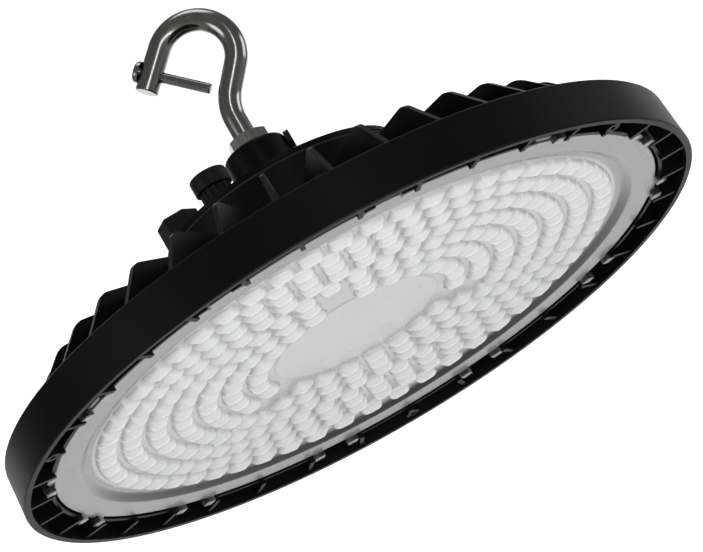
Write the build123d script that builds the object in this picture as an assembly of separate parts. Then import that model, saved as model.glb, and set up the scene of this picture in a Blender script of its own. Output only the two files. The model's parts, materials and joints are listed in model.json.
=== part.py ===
from build123d import *
import math
import os

# A round high bay light: a finned die-cast housing inside a hoop, a lens plate with rings of lenslets
# below, a drum for the driver above, and a hook. Millimetres. The origin is the centre of the hoop's
# lower edge and +Z points to the hook. Azimuth 0 is -Y, and it grows towards +X.

# Hoop round the housing
HOOP_RADIUS = 160.0
HOOP_DRAFT = 1.5
HOOP_HEIGHT = 21.0
HOOP_WALL = 2.8
HOOP_LIP = 3.2
EDGE_BREAK = 0.6

# Radial fins, whose lower ends are the ribs that carry the hoop
FIN_COUNT = 36
FIN_THICKNESS = 2.2
FIN_BOTTOM = 1.1
FIN_SLOPE = 45.0
FIN_SHOULDER_RADIUS = 127.0
FIN_SHOULDER_HEIGHT = 44.5
FIN_SHOULDER_ROUND = 10.0
FIN_ROOT_HEIGHT = 50.0
WEB_BITE = 1.0

# Threaded bosses for a reflector, in the gap between housing and hoop
ACCESSORY_COUNT = 3
ACCESSORY_AZIMUTH = 60.0
ACCESSORY_RADIUS = 153.0
ACCESSORY_BOSS_RADIUS = 3.25
ACCESSORY_BOSS_HEIGHT = 12.0
ACCESSORY_HOLE_RADIUS = 1.25
ACCESSORY_HOLE_DEPTH = 8.0

# Lens plate
LENS_RADIUS = 145.3
LENS_FACE = 3.6
LENS_RIM_THICKNESS = 3.0
LENS_RIM_WIDTH = 11.8
LENS_RAMP_WIDTH = 4.0
LENS_RECESS = 2.4
LENS_THICKNESS = 2.0
LENS_FIT = 1.0
DISC_RADIUS = 39.7
DISC_STEP = 0.4

# Lenslets, in rings about the plain middle disc
RING_FIRST_RADIUS = 48.0
RING_PITCH = 12.0
RING_COUNTS = [24, 30, 36, 42, 48, 54, 54]
RING_HALF_STEPS = [0, 0, 0, 1, 1, 1, 0]
RINGS_WITH_GAPS = 2
GAP_COUNT = 3
LENSLET_LENGTH = 10.0
LENSLET_FILL = 0.83
LENSLET_FOOT_HEIGHT = 1.9
LENSLET_CROWN_HEIGHT = 1.6
LENSLET_FOOT_INSET = 0.9
LENSLET_CROWN_INSET = 2.2
LENSLET_BITE = 0.5

# Clip tabs on the lens plate's edge
TAB_COUNT = 12
TAB_WIDTH = 22.0
TAB_NOTCH_CLEARANCE = 0.4
BRIDGE_REACH = 2.2
BRIDGE_STEP = 0.8
EAR_WIDTH = 5.0
EAR_DROP = 2.1
EAR_ARM = 1.5
EAR_CLEARANCE = 0.3
BARB_REACH = 0.8
BARB_HEIGHT = 1.2

# Ring wall that surrounds the lens plate, and the plate that carries the lamp board
RING_WALL = 1.7
RING_BOTTOM = 3.0
PLATE_THICKNESS = 4.0
LENS_GASKET_RADIUS = 138.5
LENS_GASKET_WIDTH = 4.0
LENS_GASKET_THICKNESS = 1.5

# Lamp board, its packages and the heat pad
BOARD_RADIUS = 129.5
BOARD_FIT = 0.8
BOARD_THICKNESS = 1.6
PAD_THICKNESS = 0.4
LED_WIDTH = 3.0
LED_HEIGHT = 0.7
LED_CLEARANCE = 0.3
BOARD_SCREW_RADIUS = 1.5
BOARD_SCREW_HEAD_RADIUS = 2.8
BOARD_SCREW_BITE = 3.0
INNER_SCREW_CIRCLE = 54.0
OUTER_SCREW_CIRCLE = 114.0
OUTER_SCREW_COUNT = 6
SCREW_CLEARANCE = 0.2

# Drum for the driver, with its cover
DRUM_RADIUS = 54.9
DRUM_WALL = 2.8
DRUM_TOP = 68.5
COVER_OVERHANG = 0.7
COVER_THICKNESS = 2.0
COVER_GASKET_THICKNESS = 1.0
COVER_SCREW_COUNT = 4
COVER_SCREW_AZIMUTH = 30.0
COVER_SCREW_CIRCLE = 47.6
COVER_SCREW_RADIUS = 2.0
COVER_SCREW_HEAD_RADIUS = 3.6
COVER_SCREW_HEAD_HEIGHT = 1.6
COVER_SCREW_LENGTH = 12.0
COVER_PILLAR_RADIUS = 4.6
BOSS_RADIUS = 14.5
BOSS_HEIGHT = 26.5
BOSS_ROUND = 2.5
BOSS_UNDER_RADIUS = 10.0
BOSS_UNDER_DEPTH = 10.0

# Hook, bent from round bar in the XZ plane
ROD_RADIUS = 5.2
THREAD_RADIUS = 5.0
THREAD_CLEARANCE = 0.1
THREAD_REACH = 30.0
THREAD_END_CLEARANCE = 0.6
SHANK_HEIGHT = 15.2
S_BEND_RADIUS = 22.0
S_BEND_ANGLE = 39.7
LEAN_LENGTH = 11.3
LOOP_RADIUS = 17.3
LOOP_SWEEP = 174.7
TIP_LENGTH = 20.2
TIP_CHAMFER = 0.5

# Jam nut on the boss
NUT_ACROSS_FLATS = 17.0
NUT_HEIGHT = 6.0
NUT_TURN = 11.5
NUT_CHAMFER = 0.7

# Lock screw in the side of the boss, and the screw that bars the hook's mouth
LOCK_SCREW_RADIUS = 2.5
LOCK_SCREW_DROP = 4.5
LOCK_HEAD_RADIUS = 4.25
LOCK_HEAD_HEIGHT = 2.7
LOCK_SOCKET_ACROSS = 3.0
LOCK_SOCKET_DEPTH = 1.5
BAR_RADIUS = 2.4
BAR_FROM_TIP = 8.1
BAR_LENGTH = 27.4
BAR_HEAD_RADIUS = 4.9
BAR_HEAD_HEIGHT = 2.6
BAR_HEAD_ROUND = 1.6
CROSS_SLOT_LENGTH = 5.0
CROSS_SLOT_WIDTH = 1.0
CROSS_SLOT_DEPTH = 1.2

# Fittings on the cover
FITTING_CIRCLE = 43.5
GLAND_AZIMUTH = -90.0
VENT_AZIMUTH = -30.0
STEM_RADIUS = 6.0
STEM_LENGTH = 8.5
LOCKNUT_ACROSS_FLATS = 16.0
LOCKNUT_HEIGHT = 3.0
LOCKNUT_TURN = 30.0
FITTING_SEAL_RADIUS = 8.2
FITTING_SEAL_THICKNESS = 1.0
GLAND_ACROSS_FLATS = 17.0
GLAND_BORE_RADIUS = 3.4
GLAND_MOUTH_CLEARANCE = 0.4
GLAND_COLLAR_HEIGHT = 4.2
GLAND_NECK_RADIUS = 6.4
GLAND_NECK_HEIGHT = 4.6
GLAND_CAP_HEIGHT = 11.8
GLAND_CAP_ROOF = 2.0
VENT_COLLAR_RADIUS = 7.2
VENT_COLLAR_HEIGHT = 6.0
VENT_FLUTE_COUNT = 16
VENT_FLUTE_RADIUS = 0.7
VENT_BORE_RADIUS = 2.5
VENT_CAP_RADIUS = 8.5
VENT_CAP_HEIGHT = 7.3
VENT_CAP_ROOF = 2.0
VENT_SPIGOT_RADIUS = 5.4
VENT_SPIGOT_HEIGHT = 2.6
VENT_MEMBRANE_THICKNESS = 0.4
VENT_MEMBRANE_INSET = 0.6

# Driver inside the drum
TRAY_RADIUS = 42.0
TRAY_WALL = 1.5
TRAY_HEIGHT = 34.0
TRAY_POST_RADIUS = 3.2
TRAY_POST_HEIGHT = 4.0
DRIVER_BOARD_FIT = 0.6
DRIVER_BOARD_THICKNESS = 1.6
DRIVER_SCREW_CIRCLE = 35.0
DRIVER_SCREW_COUNT = 3
DRIVER_SCREW_AZIMUTH = 60.0
DRIVER_SCREW_RADIUS = 1.5
DRIVER_SCREW_HEAD_RADIUS = 2.8
DRIVER_SCREW_HEAD_HEIGHT = 1.8
DRIVER_SCREW_BITE = 2.5
DRIVER_PART_GAP = 0.6
TRANSFORMER_SIZE = (26.0, 22.0, 20.0)
CORE_WIDTH = 12.0
CORE_OVERHANG = 2.0
CAPACITOR_RADIUS = 6.0
CAPACITOR_HEIGHT = 20.0
CAPACITOR_SPACING = 13.5
CHOKE_RADIUS = 8.0
CHOKE_HOLE_RADIUS = 3.5
CHOKE_HEIGHT = 9.0
TERMINAL_SIZE = (15.0, 8.0, 9.0)
TERMINAL_HOLE_RADIUS = 1.6
LEAD_RADIUS = 0.9
LEAD_SPACING = 3.6
LEAD_PLACE = 20.0
GROMMET_RADIUS = 5.0
GROMMET_FLANGE = 1.6
GROMMET_FLANGE_THICKNESS = 1.0
GROMMET_CLEARANCE = 0.5

# Levels and radii that follow from the sizes above
hoop_bottom_radius = HOOP_RADIUS + HOOP_DRAFT
hoop_inner_bottom = hoop_bottom_radius - HOOP_LIP
hoop_inner_top = HOOP_RADIUS - HOOP_WALL
ring_inner = LENS_RADIUS + LENS_FIT
ring_outer = ring_inner + RING_WALL
lens_rim_top = LENS_FACE + LENS_RIM_THICKNESS
field_bottom = LENS_FACE + LENS_RECESS
field_top = field_bottom + LENS_THICKNESS
field_radius = LENS_RADIUS - LENS_RIM_WIDTH - LENS_RAMP_WIDTH
board_bottom = field_top + LED_CLEARANCE + LED_HEIGHT
board_top = board_bottom + BOARD_THICKNESS
plate_bottom = board_top + PAD_THICKNESS
plate_top = plate_bottom + PLATE_THICKNESS
flange_bottom = lens_rim_top + LENS_GASKET_THICKNESS
pocket_radius = BOARD_RADIUS + BOARD_FIT
drum_inner = DRUM_RADIUS - DRUM_WALL
cover_bottom = DRUM_TOP + COVER_GASKET_THICKNESS
cover_top = cover_bottom + COVER_THICKNESS
boss_top = cover_top + BOSS_HEIGHT
tray_bottom = plate_top
driver_board_bottom = tray_bottom + TRAY_WALL + TRAY_POST_HEIGHT
driver_board_top = driver_board_bottom + DRIVER_BOARD_THICKNESS
tray_inner = TRAY_RADIUS - TRAY_WALL
ear_inner = ring_outer + EAR_CLEARANCE
ear_outer = ear_inner + EAR_ARM
ear_bottom = LENS_FACE - EAR_DROP
barb_bottom = plate_top + EAR_CLEARANCE
gland_mouth_radius = GLAND_BORE_RADIUS + GLAND_MOUTH_CLEARANCE
shoulder = cover_top + FITTING_SEAL_THICKNESS
gland_collar_top = shoulder + GLAND_COLLAR_HEIGHT
gland_neck_top = gland_collar_top + GLAND_NECK_HEIGHT
gland_cap_top = gland_collar_top + GLAND_CAP_HEIGHT
vent_collar_top = shoulder + VENT_COLLAR_HEIGHT
vent_spigot_top = vent_collar_top + VENT_SPIGOT_HEIGHT
vent_cap_top = vent_collar_top + VENT_CAP_HEIGHT


def at(radius, azimuth):
    """Place at a radius and azimuth, turned so that the local -Y points outwards."""
    return Rot(0, 0, azimuth) * Pos(0, -radius, 0)


def disc(radius, bottom, top):
    """Upright cylinder between two levels."""
    return Pos(0, 0, bottom) * Cylinder(radius, top - bottom, align=(Align.CENTER, Align.CENTER, Align.MIN))


def tube(outer, inner, bottom, top):
    """Upright ring between two levels."""
    return disc(outer, bottom, top) - disc(inner, bottom, top)


def hexagon(across_flats, bottom, top):
    """Upright hexagonal prism between two levels, with a corner on -Y."""
    profile = RegularPolygon(across_flats / 2, 6, major_radius=False, rotation=30)
    return Pos(0, 0, bottom) * extrude(profile, top - bottom)


def block(size, bottom):
    """Box that stands on a level."""
    return Pos(0, 0, bottom) * Box(*size, align=(Align.CENTER, Align.CENTER, Align.MIN))


def turned(points):
    """Solid of revolution about Z from an outline of radius and height."""
    return revolve(Plane.XZ * make_face(Polyline(*points, close=True)), Axis.Z)


def spread(count, first=0.0):
    """Azimuths of equal steps round the axis."""
    return [first + 360.0 / count * index for index in range(count)]


def lamp_places():
    """Radius and azimuth of each lenslet and of the package behind it, with its share of the ring."""
    gap_azimuths = spread(GAP_COUNT)
    for ring, count in enumerate(RING_COUNTS):
        radius = RING_FIRST_RADIUS + RING_PITCH * ring
        step = 360.0 / count
        for azimuth in spread(count, RING_HALF_STEPS[ring] * step / 2):
            off_gap = min(abs((azimuth - gap + 180.0) % 360.0 - 180.0) for gap in gap_azimuths)
            if ring < RINGS_WITH_GAPS and off_gap < step / 2:
                continue
            yield radius, azimuth, math.radians(step) * radius


def board_screw_places():
    """Radius and azimuth of each screw in the lamp board, the inner ones in the gaps of the rings."""
    inner = [(INNER_SCREW_CIRCLE, azimuth) for azimuth in spread(GAP_COUNT)]
    outer = [(OUTER_SCREW_CIRCLE, azimuth) for azimuth in spread(OUTER_SCREW_COUNT)]
    return inner + outer


def cover_screw_azimuths():
    return spread(COVER_SCREW_COUNT, COVER_SCREW_AZIMUTH)


def driver_screw_azimuths():
    return spread(DRIVER_SCREW_COUNT, DRIVER_SCREW_AZIMUTH)


def fin():
    """One radial plate: rib below, sloping outer edge, rounded shoulder and a long top edge."""
    outer = hoop_inner_bottom + WEB_BITE
    foot = FIN_SHOULDER_HEIGHT - (outer - FIN_SHOULDER_RADIUS) * math.tan(math.radians(FIN_SLOPE))
    corner_point = (-FIN_SHOULDER_RADIUS, FIN_SHOULDER_HEIGHT)
    outline = Polyline(
        (-outer, FIN_BOTTOM),
        (-outer, foot),
        corner_point,
        (-(DRUM_RADIUS - WEB_BITE), FIN_ROOT_HEIGHT),
        (-(DRUM_RADIUS - WEB_BITE), plate_top - WEB_BITE),
        (-(ring_outer - WEB_BITE), plate_top - WEB_BITE),
        (-(ring_outer - WEB_BITE), FIN_BOTTOM),
        close=True,
    )
    face = make_face(outline)
    corner = face.vertices().sort_by_distance(Vector(*corner_point, 0))[0]
    face = fillet(corner, FIN_SHOULDER_ROUND)
    return extrude(Plane.YZ * face, FIN_THICKNESS / 2, both=True)


def hoop():
    """Hoop with draft on both faces and broken edges."""
    return turned([
        (hoop_inner_bottom, 0),
        (hoop_bottom_radius - EDGE_BREAK, 0),
        (hoop_bottom_radius, EDGE_BREAK),
        (HOOP_RADIUS, HOOP_HEIGHT - EDGE_BREAK),
        (HOOP_RADIUS - EDGE_BREAK, HOOP_HEIGHT),
        (hoop_inner_top, HOOP_HEIGHT),
    ])


def housing_core():
    """Ring wall, flange, carrying plate and drum wall in one turned section."""
    return turned([
        (0, plate_bottom),
        (pocket_radius, plate_bottom),
        (pocket_radius, flange_bottom),
        (ring_inner, flange_bottom),
        (ring_inner, RING_BOTTOM),
        (ring_outer, RING_BOTTOM),
        (ring_outer, plate_top),
        (DRUM_RADIUS, plate_top),
        (DRUM_RADIUS, DRUM_TOP),
        (drum_inner, DRUM_TOP),
        (drum_inner, plate_top),
        (0, plate_top),
    ])


def make_housing():
    body = housing_core() + [hoop()] + [at(0, azimuth) * fin() for azimuth in spread(FIN_COUNT)]
    bosses = []
    holes = []
    for azimuth in spread(ACCESSORY_COUNT, ACCESSORY_AZIMUTH):
        place = at(ACCESSORY_RADIUS, azimuth)
        bosses.append(place * disc(ACCESSORY_BOSS_RADIUS, FIN_BOTTOM, FIN_BOTTOM + ACCESSORY_BOSS_HEIGHT))
        holes.append(place * disc(ACCESSORY_HOLE_RADIUS, FIN_BOTTOM, FIN_BOTTOM + ACCESSORY_HOLE_DEPTH))
    for azimuth in cover_screw_azimuths():
        place = at(COVER_SCREW_CIRCLE, azimuth)
        bosses.append(place * disc(COVER_PILLAR_RADIUS, plate_top - WEB_BITE, DRUM_TOP))
        holes.append(place * disc(COVER_SCREW_RADIUS, DRUM_TOP - COVER_SCREW_LENGTH, DRUM_TOP))
    for azimuth in tab_azimuths():
        notch = (TAB_WIDTH + 2 * TAB_NOTCH_CLEARANCE, RING_WALL + 2 * LENS_FIT, flange_bottom - RING_BOTTOM)
        holes.append(at((ring_inner + ring_outer) / 2, azimuth) * block(notch, RING_BOTTOM))
    for radius, azimuth in board_screw_places():
        tip = plate_bottom + BOARD_SCREW_BITE
        holes.append(at(radius, azimuth) * disc(BOARD_SCREW_RADIUS, plate_bottom, tip))
    for azimuth in driver_screw_azimuths():
        place = at(DRIVER_SCREW_CIRCLE, azimuth)
        holes.append(place * disc(DRIVER_SCREW_RADIUS, plate_top - DRIVER_SCREW_BITE, plate_top))
    holes.append(Pos(0, LEAD_PLACE, 0) * disc(GROMMET_RADIUS, plate_bottom, plate_top))
    return body + bosses - holes


def tab_azimuths():
    """Clip tabs stand midway between two fins."""
    return spread(TAB_COUNT, 180.0 / TAB_COUNT)


def lenslet(width):
    """One four-sided pillow, standing down from the field: a steep foot and a flatter crown."""
    foot = LENSLET_FOOT_INSET
    crown = LENSLET_FOOT_INSET + LENSLET_CROWN_INSET
    levels = [
        (0.0, field_bottom + LENSLET_BITE),
        (0.0, field_bottom),
        (foot, field_bottom - LENSLET_FOOT_HEIGHT),
        (crown, field_bottom - LENSLET_FOOT_HEIGHT - LENSLET_CROWN_HEIGHT),
    ]
    sections = [
        Pos(0, 0, height) * Rectangle(width - 2 * inset, LENSLET_LENGTH - 2 * inset)
        for inset, height in levels
    ]
    return loft(sections, ruled=True)


def ledge(width, inner, outer, bottom, top):
    """Block on the lens plate's edge, between two radii and two levels."""
    return Pos(0, -(inner + outer) / 2, 0) * block((width, outer - inner, top - bottom), bottom)


def clip_tab():
    """Edge tab: a bridge between two ears, which stand below the rim and hook over the carrying plate."""
    root = LENS_RADIUS - WEB_BITE
    pieces = [ledge(TAB_WIDTH, root, LENS_RADIUS + BRIDGE_REACH, LENS_FACE + BRIDGE_STEP, lens_rim_top)]
    ear_top = barb_bottom + BARB_HEIGHT
    barb_inner = ring_outer - BARB_REACH
    for side in (-1, 1):
        place = Pos(side * (TAB_WIDTH - EAR_WIDTH) / 2, 0, 0)
        ear = ledge(EAR_WIDTH, root, ear_outer, LENS_FACE, lens_rim_top)
        foot = ledge(EAR_WIDTH, LENS_RADIUS, ear_outer, ear_bottom, lens_rim_top)
        arm = ledge(EAR_WIDTH, ear_inner, ear_outer, ear_bottom, ear_top)
        barb = ledge(EAR_WIDTH, barb_inner, ear_outer, barb_bottom, ear_top)
        pieces += [place * ear, place * foot, place * arm, place * barb]
    return pieces


def make_lens_plate():
    plate = turned([
        (0, field_bottom - DISC_STEP),
        (DISC_RADIUS, field_bottom - DISC_STEP),
        (DISC_RADIUS, field_bottom),
        (field_radius, field_bottom),
        (field_radius + LENS_RAMP_WIDTH, LENS_FACE),
        (LENS_RADIUS, LENS_FACE),
        (LENS_RADIUS, lens_rim_top),
        (field_radius + LENS_RAMP_WIDTH, lens_rim_top),
        (field_radius, field_top),
        (0, field_top),
    ])
    kinds = {}
    pillows = []
    for radius, azimuth, share in lamp_places():
        if radius not in kinds:
            kinds[radius] = lenslet(share * LENSLET_FILL)
        pillows.append(at(radius, azimuth) * kinds[radius])
    tabs = [at(0, azimuth) * piece for azimuth in tab_azimuths() for piece in clip_tab()]
    return plate + pillows + tabs


def make_lens_gasket():
    half = LENS_GASKET_WIDTH / 2
    return tube(LENS_GASKET_RADIUS + half, LENS_GASKET_RADIUS - half, lens_rim_top, flange_bottom)


def board_screw(radius, azimuth):
    """Countersunk screw, flush with the lamp board's lower face."""
    tip = plate_bottom + BOARD_SCREW_BITE
    screw = turned([
        (0, board_bottom),
        (BOARD_SCREW_HEAD_RADIUS, board_bottom),
        (BOARD_SCREW_RADIUS, board_top),
        (BOARD_SCREW_RADIUS, tip),
        (0, tip),
    ])
    return at(radius, azimuth) * screw


def make_led_board():
    board = disc(BOARD_RADIUS, board_bottom, board_top)
    return board - [board_screw(*place) for place in board_screw_places()]


def make_board_screws():
    return [board_screw(*place) for place in board_screw_places()]


def make_thermal_pad():
    holes = [
        at(radius, azimuth) * disc(BOARD_SCREW_RADIUS + SCREW_CLEARANCE, board_top, plate_bottom)
        for radius, azimuth in board_screw_places()
    ]
    holes.append(Pos(0, LEAD_PLACE, 0) * disc(GROMMET_RADIUS, board_top, plate_bottom))
    return disc(BOARD_RADIUS, board_top, plate_bottom) - holes


def make_led_packages():
    size = (LED_WIDTH, LED_WIDTH, LED_HEIGHT)
    return [
        at(radius, azimuth) * block(size, board_bottom - LED_HEIGHT)
        for radius, azimuth, _ in lamp_places()
    ]


def make_top_cover():
    cover = disc(DRUM_RADIUS + COVER_OVERHANG, cover_bottom, cover_top)
    boss = disc(BOSS_RADIUS, cover_top - WEB_BITE, boss_top)
    boss = fillet(boss.edges().sort_by(Axis.Z)[-1], BOSS_ROUND)
    under = disc(BOSS_UNDER_RADIUS, cover_bottom - BOSS_UNDER_DEPTH, cover_bottom + WEB_BITE)
    holes = [disc(THREAD_RADIUS + THREAD_CLEARANCE, boss_top - THREAD_REACH, boss_top)]
    holes.append(lock_place() * Cylinder(
        LOCK_SCREW_RADIUS, BOSS_RADIUS, align=(Align.CENTER, Align.CENTER, Align.MIN)))
    for azimuth in (GLAND_AZIMUTH, VENT_AZIMUTH):
        place = at(FITTING_CIRCLE, azimuth)
        holes.append(place * disc(STEM_RADIUS + SCREW_CLEARANCE, cover_bottom, cover_top))
    for azimuth in cover_screw_azimuths():
        holes.append(at(COVER_SCREW_CIRCLE, azimuth) * cover_screw(SCREW_CLEARANCE))
    return cover + boss + under - holes


def make_cover_gasket():
    ring = tube(DRUM_RADIUS, drum_inner, DRUM_TOP, cover_bottom)
    lugs = []
    holes = []
    for azimuth in cover_screw_azimuths():
        place = at(COVER_SCREW_CIRCLE, azimuth)
        lugs.append(place * disc(COVER_PILLAR_RADIUS, DRUM_TOP, cover_bottom))
        holes.append(place * disc(COVER_SCREW_RADIUS + SCREW_CLEARANCE, DRUM_TOP, cover_bottom))
    return ring + lugs - holes


def cover_screw(clearance=0.0):
    """Countersunk screw, flush with the cover, or the space it needs with a clearance round the shaft."""
    shaft_radius = COVER_SCREW_RADIUS + clearance
    head_bottom = cover_top - COVER_SCREW_HEAD_HEIGHT
    return turned([
        (0, DRUM_TOP - COVER_SCREW_LENGTH),
        (shaft_radius, DRUM_TOP - COVER_SCREW_LENGTH),
        (shaft_radius, head_bottom),
        (COVER_SCREW_HEAD_RADIUS, cover_top),
        (0, cover_top),
    ])


def make_cover_screws():
    screw = cover_screw() - cross_slots(cover_top)
    return [at(COVER_SCREW_CIRCLE, azimuth) * screw for azimuth in cover_screw_azimuths()]


def cross_slots(top):
    """Two crossed slots sunk from a head's top."""
    bottom = top - CROSS_SLOT_DEPTH
    one = block((CROSS_SLOT_LENGTH, CROSS_SLOT_WIDTH, CROSS_SLOT_DEPTH), bottom)
    other = block((CROSS_SLOT_WIDTH, CROSS_SLOT_LENGTH, CROSS_SLOT_DEPTH), bottom)
    return one + other


def hook_points():
    """Joints of the hook's centre line in the XZ plane, and the heading at its tip."""
    lean = math.radians(S_BEND_ANGLE)
    shank = Vector(0, 0, boss_top + SHANK_HEIGHT)
    s_centre = shank + Vector(S_BEND_RADIUS, 0, 0)
    s_middle = s_centre + S_BEND_RADIUS * Vector(-math.cos(lean / 2), 0, math.sin(lean / 2))
    s_end = s_centre + S_BEND_RADIUS * Vector(-math.cos(lean), 0, math.sin(lean))
    loop_start = s_end + LEAN_LENGTH * Vector(math.sin(lean), 0, math.cos(lean))
    loop_centre = loop_start + LOOP_RADIUS * Vector(-math.cos(lean), 0, math.sin(lean))
    middle = math.radians(LOOP_SWEEP / 2) - lean
    end = math.radians(LOOP_SWEEP) - lean
    loop_middle = loop_centre + LOOP_RADIUS * Vector(math.cos(middle), 0, math.sin(middle))
    loop_end = loop_centre + LOOP_RADIUS * Vector(math.cos(end), 0, math.sin(end))
    heading = Vector(-math.sin(end), 0, math.cos(end))
    tip = loop_end + TIP_LENGTH * heading
    return shank, s_middle, s_end, loop_start, loop_middle, loop_end, tip, heading


def bar_plane():
    """Plane across the tip's limb: its origin on the limb's axis, its normal into the loop."""
    tip, heading = hook_points()[-2:]
    origin = tip - BAR_FROM_TIP * heading
    return Plane(origin=origin, x_dir=(0, 1, 0), z_dir=Vector(-heading.Z, 0, heading.X))


def make_hook():
    shank, s_middle, s_end, loop_start, loop_middle, loop_end, tip, heading = hook_points()
    nut_top = boss_top + NUT_HEIGHT
    start = Vector(0, 0, nut_top)
    path = Wire([
        Edge.make_line(start, shank),
        Edge.make_three_point_arc(shank, s_middle, s_end),
        Edge.make_line(s_end, loop_start),
        Edge.make_three_point_arc(loop_start, loop_middle, loop_end),
        Edge.make_line(loop_end, tip),
    ])
    bar = sweep(Plane(origin=start, z_dir=(0, 0, 1)) * Circle(ROD_RADIUS), path=path)
    tip_face = bar.faces().sort_by_distance(tip)[0]
    bar = chamfer(tip_face.edges(), TIP_CHAMFER)
    thread_end = boss_top - THREAD_REACH + THREAD_END_CLEARANCE
    thread = disc(THREAD_RADIUS, thread_end, nut_top + WEB_BITE)
    hole = bar_plane() * Cylinder(BAR_RADIUS + THREAD_CLEARANCE, 2 * (ROD_RADIUS + WEB_BITE))
    return bar + thread - hole


def make_safety_screw():
    """Screw through the hook's tip: a domed head outside the limb and a shaft across the mouth."""
    shaft = disc(BAR_RADIUS, -ROD_RADIUS, BAR_LENGTH)
    shaft = chamfer(shaft.edges().sort_by(Axis.Z)[-1], TIP_CHAMFER)
    head_top = ROD_RADIUS + BAR_HEAD_HEIGHT
    head = disc(BAR_HEAD_RADIUS, -head_top, -ROD_RADIUS)
    head = fillet(head.edges().sort_by(Axis.Z)[0], BAR_HEAD_ROUND)
    slots = Pos(0, 0, CROSS_SLOT_DEPTH) * cross_slots(-head_top)
    return bar_plane() * (shaft + head - slots)


def make_hook_nut():
    nut = hexagon(NUT_ACROSS_FLATS, boss_top, boss_top + NUT_HEIGHT)
    corner_radius = NUT_ACROSS_FLATS / math.sqrt(3)
    slope = turned([
        (0, boss_top),
        (corner_radius, boss_top),
        (corner_radius, boss_top + NUT_HEIGHT - NUT_CHAMFER),
        (NUT_ACROSS_FLATS / 2, boss_top + NUT_HEIGHT),
        (0, boss_top + NUT_HEIGHT),
    ])
    bore = disc(THREAD_RADIUS + THREAD_CLEARANCE, boss_top, boss_top + NUT_HEIGHT)
    return Rot(0, 0, NUT_TURN) * ((nut & slope) - bore)


def lock_place():
    """Frame of the lock screw: its Z points out along +X at the screw's level."""
    return Pos(0, 0, boss_top - LOCK_SCREW_DROP) * Rot(0, 90, 0)


def make_lock_screw():
    shaft = disc(LOCK_SCREW_RADIUS, THREAD_RADIUS + THREAD_CLEARANCE, BOSS_RADIUS)
    head = disc(LOCK_HEAD_RADIUS, BOSS_RADIUS, BOSS_RADIUS + LOCK_HEAD_HEIGHT)
    top = BOSS_RADIUS + LOCK_HEAD_HEIGHT
    socket = hexagon(LOCK_SOCKET_ACROSS, top - LOCK_SOCKET_DEPTH, top)
    return lock_place() * (shaft + head - socket)


def fitting_stem(bore):
    """Threaded stem of a fitting, through the cover and its seal, from its shoulder down."""
    return tube(STEM_RADIUS, bore, cover_bottom - STEM_LENGTH, shoulder + WEB_BITE)


def fitting_seal():
    inner = STEM_RADIUS + SCREW_CLEARANCE
    return tube(FITTING_SEAL_RADIUS, inner, cover_top, shoulder)


def locknut():
    """Nut under the cover, with a flat towards the drum's wall."""
    nut = hexagon(LOCKNUT_ACROSS_FLATS, cover_bottom - LOCKNUT_HEIGHT, cover_bottom)
    bore = disc(STEM_RADIUS + THREAD_CLEARANCE, cover_bottom - LOCKNUT_HEIGHT, cover_bottom)
    return Rot(0, 0, LOCKNUT_TURN) * (nut - bore)


def make_gland_body():
    collar = hexagon(GLAND_ACROSS_FLATS, shoulder, gland_collar_top)
    neck = disc(GLAND_NECK_RADIUS, gland_collar_top - WEB_BITE, gland_neck_top)
    bore = disc(gland_mouth_radius, shoulder, gland_neck_top)
    return at(FITTING_CIRCLE, GLAND_AZIMUTH) * (collar + neck + fitting_stem(gland_mouth_radius) - bore)


def make_gland_cap():
    cap = hexagon(GLAND_ACROSS_FLATS, gland_collar_top, gland_cap_top)
    cap = chamfer(cap.edges().group_by(Axis.Z)[-1], EDGE_BREAK)
    cavity_top = gland_cap_top - GLAND_CAP_ROOF
    cavity = disc(GLAND_NECK_RADIUS + THREAD_CLEARANCE, gland_collar_top, cavity_top)
    mouth = disc(gland_mouth_radius, cavity_top, gland_cap_top)
    return at(FITTING_CIRCLE, GLAND_AZIMUTH) * (cap - cavity - mouth)


def make_gland_seal():
    sleeve = tube(GLAND_NECK_RADIUS, GLAND_BORE_RADIUS, gland_neck_top, gland_cap_top - GLAND_CAP_ROOF)
    return at(FITTING_CIRCLE, GLAND_AZIMUTH) * sleeve


def make_vent_body():
    collar = disc(VENT_COLLAR_RADIUS, shoulder, vent_collar_top)
    flutes = [
        at(VENT_COLLAR_RADIUS, azimuth) * disc(VENT_FLUTE_RADIUS, shoulder, vent_collar_top)
        for azimuth in spread(VENT_FLUTE_COUNT)
    ]
    spigot = disc(VENT_SPIGOT_RADIUS, vent_collar_top - WEB_BITE, vent_spigot_top)
    bore = disc(VENT_BORE_RADIUS, shoulder, vent_spigot_top)
    body = (collar - flutes) + spigot + fitting_stem(VENT_BORE_RADIUS) - bore
    return at(FITTING_CIRCLE, VENT_AZIMUTH) * body


def make_vent_cap():
    cap = disc(VENT_CAP_RADIUS, vent_collar_top, vent_cap_top)
    cap = chamfer(cap.edges().sort_by(Axis.Z)[-1], EDGE_BREAK)
    cavity_radius = VENT_SPIGOT_RADIUS + THREAD_CLEARANCE
    cavity = disc(cavity_radius, vent_collar_top, vent_cap_top - VENT_CAP_ROOF)
    return at(FITTING_CIRCLE, VENT_AZIMUTH) * (cap - cavity)


def make_vent_membrane():
    radius = VENT_SPIGOT_RADIUS - VENT_MEMBRANE_INSET
    film = disc(radius, vent_spigot_top, vent_spigot_top + VENT_MEMBRANE_THICKNESS)
    return at(FITTING_CIRCLE, VENT_AZIMUTH) * film


def make_fitting_seals():
    return [at(FITTING_CIRCLE, azimuth) * fitting_seal() for azimuth in (GLAND_AZIMUTH, VENT_AZIMUTH)]


def make_locknuts():
    return [at(FITTING_CIRCLE, azimuth) * locknut() for azimuth in (GLAND_AZIMUTH, VENT_AZIMUTH)]


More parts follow.
